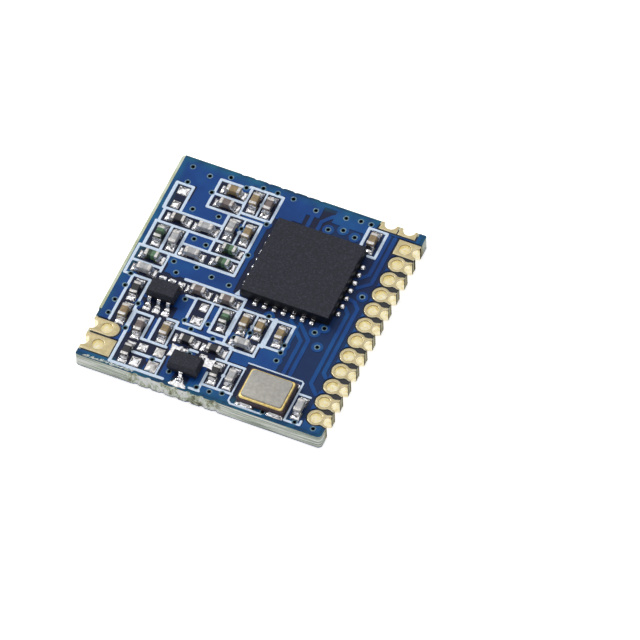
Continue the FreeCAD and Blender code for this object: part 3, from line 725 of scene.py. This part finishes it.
# %% Copy the chip parts to their places
models = {}
ends, fillets = [], []
for name in chip_names:
    low, high = (Vector(c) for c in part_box(name))
    middle = (low + high) / 2
    turn = 0 if high.x - low.x > high.y - low.y else 90
    top = high.z + SKIN
    kind = name.split("_")[0]
    if kind not in models:
        models[kind] = (
            chip_body(kind + "_model", chip_long - 2 * SKIN, chip_wide - 2 * SKIN, low.z, high.z),
            chip_end(kind + "_end_model", chip_long, chip_wide, seat, top),
            fillet(kind + "_fillet_model", chip_long / 2 - END_LENGTH, chip_long / 2,
                   chip_long / 2 + LAND_OVERHANG, LAND_WIDTH, seat + CLIMB_SHARE * (top - seat), 1.05),
        )
    body_model, end_model, fillet_model = models[kind]
    body = copy_to(body_model, name + "_body", middle.x, middle.y, turn)
    put_on(body, slot_of[name], slot_finish[slot_of[name]], name)
    if len(body.data.materials) > 1:
        along = Vector((-1, 0, 0)) if turn == 0 else Vector((0, -1, 0))
        for face in body.data.polygons:
            face.material_index = int((face.center - middle).dot(along) > 0)
    for way in (turn, turn + 180):
        ends.append(copy_to(end_model, name + "_end", middle.x, middle.y, way))
        fillets.append(copy_to(fillet_model, name + "_fillet", middle.x, middle.y, way))
for group in models.values():
    for model in group:
        bpy.data.objects.remove(model)
tinned_ends = join(ends, "tinned_ends")
modify(tinned_ends, "SUBSURF", levels=1, render_levels=1)
lumpy(tinned_ends, 0.10 * MM, 0.035 * MM)
smooth(tinned_ends, 50)
put_on(tinned_ends, "solder", [tin], "chip_ends")
print(len(ends), "tinned ends with", len(tinned_ends.data.polygons), "faces")

# %% [markdown]
# ## The transceiver
#
# A flat moulded package sits on its contacts. Its top is a very fine matte grain, and its sides, cut
# by the saw, are smoother and painted darker as painted shade.

# %% Transceiver body
moulding = Finish("moulding", tint(44, 46, 56), 0.5)
moulding.set("Specular IOR Level", 0.3)
grain = moulding.noise(9000, 6, rough=0.75)
grain_stops = [(0.36, tint(18, 19, 27)), (0.55, tint(41, 43, 55)), (0.7, tint(68, 70, 84))]
moulding.set("Base Color", moulding.ramp(grain, grain_stops))
moulding.set("Roughness", moulding.between(grain, -1.0, 1.6))
moulding.bump(grain, 15 * MICRON, 0.6)


def moulded_block(name, node, round_by, top_in=0.0):
    """A package body with soft edges. With top_in, its top and bottom are drawn in by that much."""
    low, high = (Vector(c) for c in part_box(node))
    piece = add_block(name, low, high)
    edit(piece)
    if top_in:
        middle = (low + high) / 2
        bpy.ops.mesh.select_all(action="SELECT")
        bpy.ops.mesh.bisect(plane_co=middle, plane_no=(0, 0, 1))
        share_x = 1 - 2 * top_in / (high.x - low.x)
        share_y = 1 - 2 * top_in / (high.y - low.y)
        pick_faces(piece, lambda c, n: abs(n.z) > 0.9)
        bpy.ops.transform.resize(value=(share_x, share_y, 1), center_override=middle)
    bpy.ops.mesh.select_all(action="SELECT")
    bpy.ops.mesh.bevel(offset=round_by, segments=3, affect="EDGES")
    pick_faces(piece, lambda c, n: n.z > 0.99)
    bpy.ops.mesh.inset(thickness=round_by)
    done()
    smooth(piece)
    return piece


# The sides are painted darker than the top: painted shade.
sawn_shaded = Finish("sawn_shaded_moulding", tint(22, 22, 28), 0.45)
sawn_shaded.set("Specular IOR Level", 0.25)
sawn_shade_stops = [(0.35, tint(12, 12, 17)), (0.65, tint(30, 31, 38))]
sawn_shaded.set("Base Color", sawn_shaded.ramp(sawn_shaded.noise(9000, 4), sawn_shade_stops))
sawn_shaded.bump(sawn_shaded.noise(14000, 3), 10 * MICRON, 0.4)
MOULD_ROUND = 0.03 * MM
MOULD_DRAFT = 0.1 * MM
transceiver = moulded_block("transceiver_moulding", "transceiver_body", MOULD_ROUND)
put_on(transceiver, "moulding", [moulding, sawn_shaded], "transceiver_body")
for face in transceiver.data.polygons:
    face.material_index = int(abs(face.normal.z) < 0.5)
print("transceiver moulded")

# %% [markdown]
# ## Beads of solder at the contacts
#
# Solder creeps a little way up each contact and stands there as a bead. A block with a
# drawn-out, smaller nose turns into one as soon as it is subdivided, because a subdivision pulls
# a coarse cage towards a round shape. The beads on the left are tucked a little further under
# the body.

# %% Contact beads
CONTACTS = 7
CONTACT_PITCH = 0.65 * MM
CONTACT_CLIMB = 0.2 * MM
BEAD_HALF = 0.22 * MM
BEAD_INNER = 0.1 * MM
BEAD_OUTER = 0.3 * MM
BEAD_NOSE = 0.12 * MM
BEAD_SUNK = 0.12 * MM
LEFT_TUCK = 0.08 * MM
low, high = (Vector(c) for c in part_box("transceiver_body"))
middle = (low + high) / 2
half = (high.x - low.x) / 2
bead = add_block("contact_bead", (half - BEAD_INNER, -BEAD_HALF, land_level - BEAD_SUNK),
                 (half + BEAD_OUTER, BEAD_HALF, seat + CONTACT_CLIMB))
edit(bead)
pick_faces(bead, lambda c, n: n.x > 0.9)
bpy.ops.mesh.extrude_region_move(TRANSFORM_OT_translate={"value": (BEAD_NOSE, 0, 0)})
bpy.ops.transform.resize(value=(1, 0.7, 0.6), center_override=(half, 0, land_level))
done()
modify(bead, "SUBSURF", levels=2, render_levels=2)
beads = []
for turn in (0, 90, 180, 270):
    tucked = -LEFT_TUCK if turn == 180 else 0.0
    for i in range(CONTACTS):
        shift = (i - (CONTACTS - 1) / 2) * CONTACT_PITCH
        placed = copy_to(bead, "contact_bead", tucked, shift)
        beads.append(copy_to(placed, "contact_bead", middle.x, middle.y, turn))
        bpy.data.objects.remove(placed)
bpy.data.objects.remove(bead)
contact_solder = join(beads, "contact_solder")
lumpy(contact_solder, LUMP_SIZE, 0.05 * MM)
print(len(beads), "beads around a body", round(2 * half / MM, 2), "mm square")

# %% [markdown]
# ## The crystal
#
# A dark ceramic base carries a gilt rim, and a steel lid is welded on top. The rim shows as a
# soft gold step all round the lid, so its upper edge gets a wide round bevel. Four broad
# fillets of solder stand at the base's corners.

# %% Crystal
package = ceramic("package_ceramic", tint(52, 38, 46), tint(74, 58, 66), 0.6)
steel = Finish("lid_steel", tint(176, 173, 166), 0.48, metallic=0.5)
brush = steel.noise(5200, 6, rough=0.75)
steel.set("Base Color", steel.ramp(brush, [(0.3, tint(154, 151, 144)), (0.7, tint(192, 189, 182))]))
steel.set("Roughness", steel.between(brush, -1.2, 2.0))
steel.bump(brush, 12 * MICRON, 0.7)
bright_gold = Finish("rim_gold", tint(240, 212, 136), 0.3, metallic=0.75)
rim_stops = [(0.3, tint(226, 192, 104)), (0.7, tint(255, 234, 164))]
bright_gold.set("Base Color", bright_gold.ramp(bright_gold.noise(4000, 3), rim_stops))


def rounded_slab(name, node, corner, top_round):
    """A slab with round corners and a rolled upper edge."""
    low, high = (Vector(c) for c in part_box(node))
    piece = add_block(name, low, high)
    edit(piece)
    pick_edges(piece, lambda a, b: abs(a.z - b.z) > HAIR)
    bpy.ops.mesh.bevel(offset=corner, segments=5, affect="EDGES")
    pick_edges(piece, lambda a, b: min(a.z, b.z) > high.z - HAIR)
    bpy.ops.mesh.bevel(offset=top_round, segments=3, affect="EDGES")
    done()
    smooth(piece, 40)
    return piece


base = rounded_slab("crystal_ceramic", "crystal_base", corner=0.12 * MM, top_round=0.03 * MM)
put_on(base, "package_ceramic", [package], "crystal_base")
rim = rounded_slab("crystal_gilt_rim", "crystal_rim", corner=0.2 * MM, top_round=0.07 * MM)
put_on(rim, "gold_plate", [bright_gold], "crystal_rim")
lid = rounded_slab("crystal_steel_lid", "crystal_lid", corner=0.2 * MM, top_round=0.05 * MM)
put_on(lid, "lid_steel", [steel], "crystal_lid")
low, high = (Vector(c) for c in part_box("crystal_base"))
middle = (low + high) / 2
half = (high.y - low.y) / 2
CORNER_LAND = 1.17 * MM
CORNER_UNDER = 0.6 * MM
CORNER_REACH = 0.24 * MM
CORNER_CLIMB = 0.17 * MM
corner_model = fillet("crystal_fillet", half - CORNER_UNDER, half, half + CORNER_REACH,
                      CORNER_LAND, seat + CORNER_CLIMB)
for turn in (90, 270):
    for side in (-1, 1):
        shift = side * ((high.x - low.x) / 2 - CORNER_LAND / 2)
        fillets.append(copy_to(corner_model, "crystal_fillet", middle.x + shift, middle.y, turn))
bpy.data.objects.remove(corner_model)
print("crystal base, rim and lid")

# %% [markdown]
# ## Small moulded packages with bent leads
#
# A lead is a strip of tinned metal: out of the moulding, down a steep slope and out again along
# its land. It is modelled as sheet metal: a flat plane, whose far edge is extruded along the
# path, with its bends bevelled, and then given its thickness.

# %% Bent leads
LEAD_WIDTH = 0.24 * MM
LEAD_THICK = 0.1 * MM
LEAD_REACH = 0.43 * MM
LEAD_ROOT = 0.45 * MM
SHOULDER = 0.13 * MM
SLOPE = 0.1 * MM
BEND_ROUND = 0.06 * MM
LEAD_ROUND = 0.02 * MM
WET_START = 0.22 * MM
WET_REACH = 0.36 * MM
WET_WIDTH = 0.46 * MM
WET_CLIMB = 0.14 * MM
WET_FLARE = 1.1


def lead_model(root, out, high, low):
    """One lead along +X from a wall at root, that steps down from high to low and reaches out."""
    bpy.ops.object.select_all(action="DESELECT")
    bpy.ops.mesh.primitive_plane_add(size=SHOULDER, location=(root + SHOULDER / 2, 0, high))
    piece = bpy.context.object
    bpy.ops.object.transform_apply(location=True, rotation=True, scale=True)
    for vert in piece.data.vertices:
        vert.co.y = math.copysign(LEAD_WIDTH / 2, vert.co.y)
    edit(piece)
    pick_edges(piece, lambda a, b: min(a.x, b.x) > root + SHOULDER - HAIR)
    for step in ((SLOPE, 0, low - high), (out - SHOULDER - SLOPE, 0, 0)):
        bpy.ops.mesh.extrude_region_move(TRANSFORM_OT_translate={"value": step})
    bends = (root + SHOULDER, root + SHOULDER + SLOPE)
    pick_edges(piece, lambda a, b: abs(a.x - b.x) < HAIR
               and min(abs(a.x - x) for x in bends) < 10 * HAIR)
    bpy.ops.mesh.bevel(offset=BEND_ROUND, segments=3, affect="EDGES")
    done()
    modify(piece, "SOLIDIFY", thickness=LEAD_THICK, offset=0)
    modify(piece, "BEVEL", width=LEAD_ROUND, segments=2, limit_method="ANGLE")
    smooth(piece, 40)
    return piece


def leads_of(body_node, lead_node, offsets, name):
    """Put a lead and its solder at each (offset, side) of a moulded body."""
    low, high = (Vector(c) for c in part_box(body_node))
    middle = (low + high) / 2
    half = (high.y - low.y) / 2
    model = lead_model(half, LEAD_REACH, seat + LEAD_ROOT, seat + LEAD_THICK / 2)
    toe = half + LEAD_REACH
    wet = fillet("lead_fillet", half + WET_START, toe, toe + WET_REACH, WET_WIDTH,
                 seat + WET_CLIMB, WET_FLARE)
    made = []
    for offset, side in offsets:
        made.append(copy_to(model, name, middle.x + offset * MM, middle.y, 90 * side))
        fillets.append(copy_to(wet, "lead_fillet", middle.x + offset * MM, middle.y, 90 * side))
    bpy.data.objects.remove(model)
    bpy.data.objects.remove(wet)
    put_on(join(made, name), "solder", [solder], lead_node)


# Each lead's offset along the body in millimetres, and its side: -1 front, 1 back
switch_places = [(x, side) for x in (-0.65, 0, 0.65) for side in (-1, 1)]
transistor_places = [(0, -1), (-0.65, 1), (0.65, 1)]
leads_of("switch_body", "switch_leads", switch_places, "switch_bent_leads")
leads_of("transistor_body", "transistor_leads", transistor_places, "transistor_bent_leads")
print(len(switch_places), "and", len(transistor_places), "bent leads")

# %% [markdown]
# ## Two bodies and a wide foot of solder
#
# Both bodies come from a mould whose halves meet half way up, so they are drawn in a little above
# and below that line. The transistor's front lead stands on a wide land, and the solder there
# flares out over it.

# %% Bodies and the wide foot
APRON_UNDER = 0.12 * MM
APRON_STAND = 0.24 * MM
APRON_REACH = 0.9 * MM
APRON_WIDTH = 0.52 * MM
APRON_CLIMB = 0.16 * MM
APRON_FLARE = 2.6
low, high = (Vector(c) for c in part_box("transistor_body"))
middle = (low + high) / 2
wall = middle.y - low.y
apron = fillet("apron", wall + APRON_UNDER, wall + APRON_STAND, wall + APRON_REACH, APRON_WIDTH,
               seat + APRON_CLIMB, APRON_FLARE)
fillets.append(copy_to(apron, "apron_fillet", middle.x, middle.y, -90))
bpy.data.objects.remove(apron)
for node in ("switch_body", "transistor_body"):
    body = moulded_block(node + "_moulding", node, MOULD_ROUND, top_in=MOULD_DRAFT)
    put_on(body, "moulding", [moulding], node)
print("two moulded bodies and a foot of solder")

# %% [markdown]
# ## Solder in one piece
#
# All fillets are joined, and one cloud pattern runs through them all, so that no two of them
# have the same lumps. The contact beads have flatter lumps of their own, so they join later.

# %% Join the solder
solder_all = join(fillets, "solder_fillets")
lumpy(solder_all, LUMP_SIZE, 0.095 * MM)
solder_all = join([solder_all, contact_solder], "solder_fillets")
smooth(solder_all, 70)
put_on(solder_all, "solder", [solder], "solder_joints")
print("solder has", len(solder_all.data.polygons), "faces")

# %% [markdown]
# ## Tin on the empty lands
#
# Where no part is fitted, a drop of solder has melted on the bare land and pulled itself into a
# pillow with drawn-out corners. A cube as thin as paper is subdivided, its sides are drawn in
# and its middle is raised; the lumps come from the same cloud pattern as before. The drops in
# the front left corner are dull.

# %% Pillows of tin
PULLED_IN = 0.16
DROP_CROWN = 0.07 * MM
FILM_CROWN = 0.05 * MM


def pillow(name, low, high, crown):
    """A drop of tin over a land: low at its corners and crowned in the middle."""
    piece = add_block(name, low, high)
    edit(piece)
    bpy.ops.mesh.select_all(action="SELECT")
    bpy.ops.mesh.subdivide(number_cuts=7)
    done()
    middle = (low + high) / 2
    reach = (high - low) / 2
    for vert in piece.data.vertices:
        u = (vert.co.x - middle.x) / reach.x
        v = (vert.co.y - middle.y) / reach.y
        vert.co.x -= PULLED_IN * reach.x * u * (1 - v * v)
        vert.co.y -= PULLED_IN * reach.y * v * (1 - u * u)
        if vert.co.z > middle.z:
            vert.co.z += crown * (1 - u * u) * (1 - v * v)
    return piece


drops = [pillow("drop", low, high, DROP_CROWN) for low, high in islands("spare_land_tin")]
tin_drops = join(drops, "tin_drops")
lumpy(tin_drops, LUMP_SIZE, 0.07 * MM)
smooth(tin_drops, 60)
put_on(tin_drops, "solder", [solder, tin], "spare_land_tin")
DULL_LEFT, DULL_RIGHT, DULL_BACK = -3.95 * MM, -3.0 * MM, -5.4 * MM
for face in tin_drops.data.polygons:
    if DULL_LEFT < face.center.x < DULL_RIGHT and face.center.y < DULL_BACK:
        face.material_index = 1
print(len(drops), "drops on empty lands")

# %% [markdown]
# ## Films of tin
#
# On the transistor's wide rear lands the tin lies as a thin film. The same pillow makes it, only
# flatter.

# %% A film of tin on the wide lands
FILM_TOP = seat + 4 * MICRON
FILM_FOOT = seat - 10 * MICRON
# Left, front, right and back edge of each film, in millimetres
wide_lands = ((-3.0, -6.35, -2.3, -5.35), (-2.3, -5.8, -1.95, -5.35), (-0.75, -6.3, 0.1, -5.5))
films = []
for left, front, right_end, rear in wide_lands:
    low = Vector((left * MM, front * MM, FILM_FOOT))
    high = Vector((right_end * MM, rear * MM, FILM_TOP))
    films.append(pillow("film", low, high, FILM_CROWN))
transistor_tin = join(films, "transistor_land_tin")
lumpy(transistor_tin, LUMP_SIZE, 0.05 * MM)
smooth(transistor_tin, 60)
put_on(transistor_tin, "solder", [solder])
print(len(films), "films on wide lands")

# %% [markdown]
# ## Gold pads with soft rims
#
# Plating builds up a soft rim around each pad and hole, and that rim catches the light. The pads of
# the frame have sharp edges, so a copy of each node is merged into closed shells, its flat parts are
# dissolved into large faces, and its edges get a bevel. The way a face looks says what it is: the
# upright walls inside the holes get the paler wall gold with its painted light, the slanted rims a
# brighter gold that is a painted highlight, and the flat tops stay worn.

# %% Gold pads
RIM_ROUND = 0.045 * MM


def soft_copy(node, name):
    """A merged copy of a node of the frame with rounded edges."""
    piece = bpy.data.objects.new(name, nodes[node].data.copy())
    scene.collection.objects.link(piece)
    edit(piece)
    bpy.ops.mesh.select_all(action="SELECT")
    bpy.ops.mesh.remove_doubles(threshold=HAIR)
    bpy.ops.mesh.dissolve_limited(angle_limit=math.radians(1))
    done()
    modify(piece, "BEVEL", width=RIM_ROUND, segments=3, limit_method="ANGLE",
           angle_limit=math.radians(40))
    smooth(piece, 40)
    return piece


for node in ("pin_pads", "radio_pads", "rear_pads"):
    pads = soft_copy(node, "gold_" + node)
    put_on(pads, "gold_plate", [gold, hole_gold, rim_highlight_gold], node)
    for face in pads.data.polygons:
        if abs(face.normal.z) < 0.3 and face.center.z < board_top - 0.05 * MM:
            face.material_index = 1
        elif 0.1 < face.normal.z < 0.97:
            face.material_index = 2
    print("gold_" + node, "has", len(pads.data.polygons), "faces")

# %% [markdown]
# ## Fibres along the front edge
#
# The router has frayed the front left edge: short white glass fibres stick to the mask there.
# One fibre is a cube drawn out to a wedge. Copies of it are scattered with a fixed seed, most
# of them close to the edge, because squaring a random share makes small values common.

# %% Frayed fibres
fibre_white = Finish("glass_fibre", tint(214, 226, 220), 0.5)
fibre_stops = [(0.35, tint(170, 190, 186)), (0.6, tint(236, 242, 238))]
fibre_white.set("Base Color", fibre_white.ramp(fibre_white.noise(5000, 2), fibre_stops))
fibre_white.bump(fibre_white.noise(12000, 2), 8 * MICRON, 0.5)
FIBRES = 70
FIBRE_HALF = 0.03 * MM
FIBRE_BODY = 0.07 * MM
FIBRE_TIP = 0.11 * MM
FRAY_START = -7.85 * MM
FRAY_LENGTH = 3.5 * MM
FRAY_INSET = 0.04 * MM
FRAY_DEPTH = 0.1 * MM
fibre = add_block("fibre_model", (0, -FIBRE_HALF, -0.01 * MM), (FIBRE_BODY, FIBRE_HALF, 0.015 * MM))
edit(fibre)
pick_faces(fibre, lambda c, n: n.x > 0.9)
bpy.ops.mesh.extrude_region_move(TRANSFORM_OT_translate={"value": (FIBRE_TIP, 0, 0)})
bpy.ops.transform.resize(value=(1, 0.25, 0.4), center_override=(FIBRE_BODY + FIBRE_TIP, 0, 0))
done()
dice = random.Random(7)
frays = []
for i in range(FIBRES):
    x = FRAY_START + FRAY_LENGTH * dice.random()
    y = board_low.y + FRAY_INSET + FRAY_DEPTH * dice.random() ** 2
    frays.append(copy_to(fibre, "fibre", x, y, dice.gauss(35, 14), board_top))
bpy.data.objects.remove(fibre)
fibres = join(frays, "edge_fibres")
put_on(fibres, "laminate", [fibre_white])
print(len(frays), "fibres")

# %% [markdown]
# ## The floor
#
# White paper under the part. What the camera sees of it gets a little light of its own, so it
# reaches white, and the part's soft shadow stays on it. The metal sees a little less of that
# light, or the gold would turn white.

# %% Floor
FLOOR_GAP = 20 * MICRON
GLOW_SEEN = 0.6
GLOW_MIRRORED = 0.55
bpy.ops.object.select_all(action="DESELECT")
bpy.ops.mesh.primitive_plane_add(size=2.0, location=(0, 0, -FLOOR_GAP))
floor = bpy.context.object
floor.name = "floor"
paper = Finish("white_paper", (0.9, 0.9, 0.9, 1), 0.8)
rays = paper.node("ShaderNodeLightPath").outputs
seen = paper.math("MULTIPLY", rays["Is Camera Ray"], GLOW_SEEN)
mirrored = paper.math("MULTIPLY", rays["Is Glossy Ray"], GLOW_MIRRORED)
paper.set("Emission Color", (1, 1, 1, 1))
paper.set("Emission Strength", paper.math("MAXIMUM", seen, mirrored))
floor.data.materials.append(paper.mat)
print("floor laid", round(FLOOR_GAP / MM, 3), "mm under the part")
